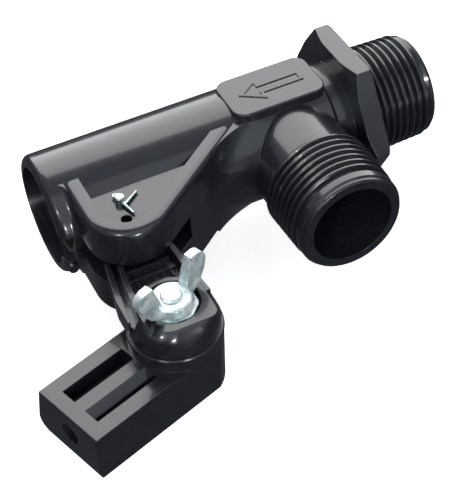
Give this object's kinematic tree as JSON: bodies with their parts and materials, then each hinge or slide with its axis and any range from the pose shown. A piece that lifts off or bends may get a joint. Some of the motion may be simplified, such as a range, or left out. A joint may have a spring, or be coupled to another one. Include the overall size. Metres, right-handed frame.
{
  "type": "float valve",
  "caption": "Moulded float valve with a piston barrel, threaded inlet and side outlet, and a pinned lever that carries a swivelling float-arm socket held by a wing nut.",
  "frame": {"origin": "barrel axis at the outer face of the hexagon, the face that seats on the tank wall", "axes": "+X out of the inlet along the barrel axis, -Y out of the outlet branch (down when installed), +Z along the lever pivot; stored lying on its side as pictured"},
  "size_m": [0.145, 0.1013, 0.0463],
  "materials": {
    "body_plastic": "satin black moulding",
    "piston_plastic": "machined black acetal",
    "brass": "turned",
    "rubber": "moulded",
    "zinc": "bright zinc plate",
    "stainless": "drawn wire"
  },
  "bodies": {
    "valve": {"body": "body_plastic", "seat_nozzle": "brass", "seat_gasket": "rubber", "lever_pin": "stainless", "split_pin": "stainless"},
    "piston": {"piston": "piston_plastic", "piston_o_rings": "rubber", "seal_washer": "rubber", "seal_screw": "brass"},
    "lever": {"lever": "body_plastic"},
    "arm_socket": {"socket": "body_plastic", "clamp_bolt": "zinc", "rod_screw": "stainless"},
    "nut": {"wing_nut": "zinc", "nut_washer": "zinc"}
  },
  "joints": [
    {"name": "lever_pivot", "type": "hinge", "parent": "valve", "child": "lever", "pos_m": [-0.0822, -0.0183, 0], "axis": [0, 0, 1], "range_deg": [-6, 14]},
    {"name": "piston_slide", "type": "slide", "parent": "valve", "child": "piston", "axis": [1, 0, 0], "range_m": [-0.0043, 0.00183]},
    {"name": "socket_swivel", "type": "hinge", "parent": "lever", "child": "arm_socket", "pos_m": [-0.0828, -0.0529, -0.004], "axis": [0, 0, 1], "range_deg": [-35, 100]},
    {"name": "wing_nut_turn", "type": "hinge", "parent": "arm_socket", "child": "nut", "pos_m": [-0.0828, -0.0529, 0.004], "axis": [0, 0, 1], "continuous": true}
  ],
  "couplings": [
    {"joint": "piston_slide", "follows": "lever_pivot", "m_per_rad": -0.0174}
  ]
}
